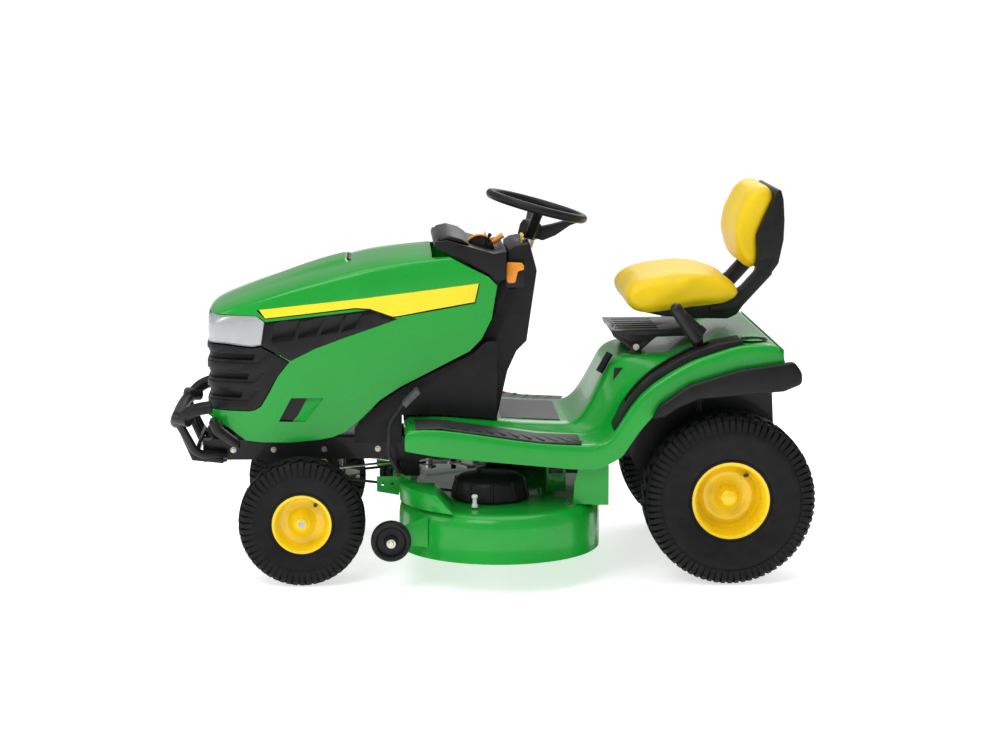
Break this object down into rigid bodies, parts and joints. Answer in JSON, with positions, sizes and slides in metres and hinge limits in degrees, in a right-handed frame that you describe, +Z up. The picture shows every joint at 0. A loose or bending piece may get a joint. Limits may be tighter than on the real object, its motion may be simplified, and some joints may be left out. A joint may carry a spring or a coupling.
{
  "type": "riding lawn mower",
  "caption": "Riding lawn mower with front hood, cushioned seat, steering wheel, green fender deck, side-discharge cutting deck and turf tyres on yellow rims.",
  "frame": {"origin": "middle of the whole machine's footprint, on the ground under the tyres", "axes": "+X forward to the nose, +Y to the driver's left, +Z up"},
  "size_m": [1.891, 1.333, 1.1629],
  "materials": {
    "frame_paint": "satin black paint",
    "green_paint": "gloss green paint",
    "green_plastic": "gloss green moulding",
    "yellow_paint": "gloss yellow paint",
    "black_plastic": "textured black moulding",
    "gloss_black": "gloss black moulding",
    "tyre_rubber": "turf tyre rubber",
    "mat_rubber": "ribbed rubber",
    "belt_rubber": "fabric-faced belt rubber",
    "bare_steel": "machined steel",
    "zinc_steel": "zinc-plated steel",
    "cast": "die-cast aluminium",
    "seat_vinyl": "grained yellow vinyl",
    "lens": "clear headlight lens",
    "orange_plastic": "orange moulding",
    "knob_yellow": "yellow moulding"
  },
  "bodies": {
    "chassis": {"chassis_frame": "frame_paint", "front_guard": "frame_paint", "engine": "cast", "transaxle": "cast", "traction_belt": "belt_rubber", "dash_tower": "black_plastic", "dash_panel": "black_plastic", "fender_deck": "green_paint", "fender_trims": "black_plastic", "fender_side_panels": "black_plastic", "foot_mats": "mat_rubber", "fuel_tank": "black_plastic"},
    "seat_hinge_plate": {"seat_bracket": "frame_paint"},
    "seat": {"seat_pan": "black_plastic", "seat_cushion": "seat_vinyl", "backrest_cushion": "seat_vinyl", "backrest_shell": "black_plastic"},
    "crankshaft": {"crank_pulleys": "bare_steel"},
    "transaxle_input": {"transaxle_pulley": "bare_steel"},
    "front_axle": {"axle_beam": "frame_paint"},
    "knuckle_left": {"steering_knuckle_left": "bare_steel"},
    "knuckle_right": {"steering_knuckle_right": "bare_steel"},
    "tie_rod_left": {"tie_rod_left": "zinc_steel"},
    "tie_rod_right": {"tie_rod_right": "zinc_steel"},
    "front_wheel_left": {"front_tyre_left": "tyre_rubber", "front_rim_left": "yellow_paint"},
    "front_wheel_right": {"front_tyre_right": "tyre_rubber", "front_rim_right": "yellow_paint"},
    "rear_wheel_left": {"rear_tyre_left": "tyre_rubber", "rear_rim_left": "yellow_paint"},
    "rear_wheel_right": {"rear_tyre_right": "tyre_rubber", "rear_rim_right": "yellow_paint"},
    "steering_column": {"steering_wheel": "black_plastic", "steering_shaft": "bare_steel"},
    "pinion": {"pinion_shaft": "bare_steel"},
    "sector": {"sector_gear": "bare_steel"},
    "deck": {"deck_shell": "green_paint", "belt_covers": "black_plastic", "mower_belt": "belt_rubber"},
    "deflector": {"discharge_deflector": "black_plastic"},
    "mandrel_left": {"mandrel_left": "bare_steel", "blade_left": "bare_steel"},
    "mandrel_right": {"mandrel_right": "bare_steel", "blade_right": "bare_steel"},
    "gauge_wheel_left": {"gauge_wheel_left": "black_plastic"},
    "gauge_wheel_right": {"gauge_wheel_right": "black_plastic"},
    "hood": {"hood_shell": "green_plastic", "front_grille": "black_plastic", "headlights": "lens", "side_vents": "gloss_black"},
    "lift_lever": {"lift_lever": "frame_paint"},
    "lift_shaft": {"lift_shaft": "frame_paint"},
    "brake_pedal": {"brake_pedal": "frame_paint"},
    "forward_pedal": {"forward_pedal": "frame_paint"},
    "reverse_pedal": {"reverse_pedal": "frame_paint"},
    "throttle_lever": {"throttle_lever": "orange_plastic"},
    "choke_lever": {"choke_lever": "gloss_black"},
    "parking_brake_lever": {"parking_brake_lever": "orange_plastic"},
    "pto_knob": {"pto_knob": "knob_yellow"},
    "ignition_key": {"ignition_key": "zinc_steel"}
  },
  "joints": [
    {"name": "seat_tilt", "type": "hinge", "parent": "chassis", "child": "seat_hinge_plate", "pos_m": [-0.444, 0.109, 0.662], "axis": [0, 1, 0], "range_deg": [0, 35]},
    {"name": "seat_slide", "type": "slide", "parent": "seat_hinge_plate", "child": "seat", "axis": [1, 0, 0], "range_m": [-0.05, 0.05]},
    {"name": "crankshaft_spin", "type": "hinge", "parent": "chassis", "child": "crankshaft", "pos_m": [0.435, 0.109, 0.345], "axis": [0, 0, 1], "continuous": true},
    {"name": "transaxle_input_spin", "type": "hinge", "parent": "chassis", "child": "transaxle_input", "pos_m": [-0.655, 0.109, 0.345], "axis": [0, 0, 1], "continuous": true},
    {"name": "front_axle_pivot", "type": "hinge", "parent": "chassis", "child": "front_axle", "pos_m": [0.547, 0.109, 0.258], "axis": [1, 0, 0], "range_deg": [-4, 4]},
    {"name": "knuckle_left_turn", "type": "hinge", "parent": "front_axle", "child": "knuckle_left", "pos_m": [0.547, 0.344, 0.285], "axis": [0, 0, 1], "range_deg": [-30, 30]},
    {"name": "knuckle_right_turn", "type": "hinge", "parent": "front_axle", "child": "knuckle_right", "pos_m": [0.547, -0.126, 0.285], "axis": [0, 0, 1], "range_deg": [-30, 30]},
    {"name": "tie_rod_left_swing", "type": "hinge", "parent": "knuckle_left", "child": "tie_rod_left", "pos_m": [0.617, 0.344, 0.302], "axis": [0, 0, 1], "range_deg": [-30, 30]},
    {"name": "tie_rod_right_swing", "type": "hinge", "parent": "knuckle_right", "child": "tie_rod_right", "pos_m": [0.617, -0.126, 0.302], "axis": [0, 0, 1], "range_deg": [-30, 30]},
    {"name": "front_wheel_left_roll", "type": "hinge", "parent": "knuckle_left", "child": "front_wheel_left", "pos_m": [0.547, 0.4465, 0.1845], "axis": [0, 1, 0], "continuous": true},
    {"name": "front_wheel_right_roll", "type": "hinge", "parent": "knuckle_right", "child": "front_wheel_right", "pos_m": [0.547, -0.2285, 0.1845], "axis": [0, 1, 0], "continuous": true},
    {"name": "rear_wheel_left_roll", "type": "hinge", "parent": "chassis", "child": "rear_wheel_left", "pos_m": [-0.695, 0.464, 0.25], "axis": [0, 1, 0], "continuous": true},
    {"name": "rear_wheel_right_roll", "type": "hinge", "parent": "chassis", "child": "rear_wheel_right", "pos_m": [-0.695, -0.246, 0.25], "axis": [0, 1, 0], "continuous": true},
    {"name": "steering_wheel_turn", "type": "hinge", "parent": "chassis", "child": "steering_column", "pos_m": [-0.1575, 0.109, 1.069], "axis": [-0.2672, 0, 0.9636], "range_deg": [-180, 180]},
    {"name": "pinion_turn", "type": "hinge", "parent": "chassis", "child": "pinion", "pos_m": [0.02, 0.109, 0.345], "axis": [0, 0, 1], "range_deg": [-180, 180]},
    {"name": "sector_turn", "type": "hinge", "parent": "chassis", "child": "sector", "pos_m": [0.095, 0.109, 0.289], "axis": [0, 0, 1], "range_deg": [-30, 30]},
    {"name": "deck_lift", "type": "slide", "parent": "chassis", "child": "deck", "axis": [0, 0, 1], "range_m": [-0.065, 0], "deforming": ["mower_belt"]},
    {"name": "deflector_hinge", "type": "hinge", "parent": "deck", "child": "deflector", "pos_m": [0.065, -0.47, 0.236], "axis": [-1, 0, 0], "range_deg": [0, 85]},
    {"name": "mandrel_left_spin", "type": "hinge", "parent": "deck", "child": "mandrel_left", "pos_m": [-0.005, 0.371, 0.252], "axis": [0, 0, 1], "continuous": true},
    {"name": "mandrel_right_spin", "type": "hinge", "parent": "deck", "child": "mandrel_right", "pos_m": [-0.105, -0.153, 0.252], "axis": [0, 0, 1], "continuous": true},
    {"name": "gauge_wheel_left_roll", "type": "hinge", "parent": "deck", "child": "gauge_wheel_left", "pos_m": [0.29, 0.609, 0.157], "axis": [0, 1, 0], "continuous": true},
    {"name": "gauge_wheel_right_roll", "type": "hinge", "parent": "deck", "child": "gauge_wheel_right", "pos_m": [0.262, -0.391, 0.157], "axis": [0, 1, 0], "continuous": true},
    {"name": "hood_tilt", "type": "hinge", "parent": "chassis", "child": "hood", "pos_m": [0.805, 0.109, 0.44], "axis": [0, 1, 0], "range_deg": [0, 40]},
    {"name": "lift_lever_swing", "type": "hinge", "parent": "chassis", "child": "lift_lever", "pos_m": [-0.635, 0.109, 0.4], "axis": [0, 1, 0], "range_deg": [0, 50]},
    {"name": "lift_shaft_turn", "type": "hinge", "parent": "chassis", "child": "lift_shaft", "pos_m": [-0.325, 0.109, 0.3], "axis": [0, 1, 0], "range_deg": [0, 29]},
    {"name": "brake_pedal_press", "type": "hinge", "parent": "chassis", "child": "brake_pedal", "pos_m": [0.265, 0.414, 0.312], "axis": [0, 1, 0], "range_deg": [0, 14], "stiffness_Nm_per_rad": 30, "springref_deg": -5.73},
    {"name": "forward_pedal_press", "type": "hinge", "parent": "chassis", "child": "forward_pedal", "pos_m": [0.265, -0.191, 0.312], "axis": [0, 1, 0], "range_deg": [0, 12], "stiffness_Nm_per_rad": 30, "springref_deg": -5.73},
    {"name": "reverse_pedal_press", "type": "hinge", "parent": "chassis", "child": "reverse_pedal", "pos_m": [0.22, -0.263, 0.29], "axis": [0, 1, 0], "range_deg": [0, 12], "stiffness_Nm_per_rad": 30, "springref_deg": -5.73},
    {"name": "throttle_lever_swing", "type": "hinge", "parent": "chassis", "child": "throttle_lever", "pos_m": [0.005, 0.169, 0.934], "axis": [0, 1, 0], "range_deg": [0, 50]},
    {"name": "choke_lever_swing", "type": "hinge", "parent": "chassis", "child": "choke_lever", "pos_m": [0.005, 0.219, 0.934], "axis": [0, 1, 0], "range_deg": [-20, 20]},
    {"name": "parking_brake_slide", "type": "slide", "parent": "chassis", "child": "parking_brake_lever", "axis": [0, 0, 1], "range_m": [-0.028, 0]},
    {"name": "pto_knob_pull", "type": "slide", "parent": "chassis", "child": "pto_knob", "axis": [0, 0, 1], "range_m": [0, 0.015]},
    {"name": "ignition_key_turn", "type": "hinge", "parent": "chassis", "child": "ignition_key", "pos_m": [-0.005, 0.039, 0.95], "axis": [0, 0, 1], "range_deg": [-90, 0]}
  ],
  "couplings": [
    {"joint": "knuckle_left_turn", "follows": "steering_wheel_turn", "ratio": 0.16667},
    {"joint": "knuckle_right_turn", "follows": "steering_wheel_turn", "ratio": 0.16667},
    {"joint": "sector_turn", "follows": "steering_wheel_turn", "ratio": 0.16667},
    {"joint": "pinion_turn", "follows": "steering_wheel_turn", "ratio": 1},
    {"joint": "tie_rod_left_swing", "follows": "steering_wheel_turn", "ratio": -0.16667},
    {"joint": "tie_rod_right_swing", "follows": "steering_wheel_turn", "ratio": -0.16667},
    {"joint": "mandrel_left_spin", "follows": "crankshaft_spin", "ratio": 1},
    {"joint": "mandrel_right_spin", "follows": "crankshaft_spin", "ratio": 1},
    {"joint": "transaxle_input_spin", "follows": "crankshaft_spin", "ratio": 0.8},
    {"joint": "lift_lever_swing", "follows": "deck_lift", "rad_per_m": -13.4},
    {"joint": "lift_shaft_turn", "follows": "deck_lift", "rad_per_m": -7.69}
  ]
}
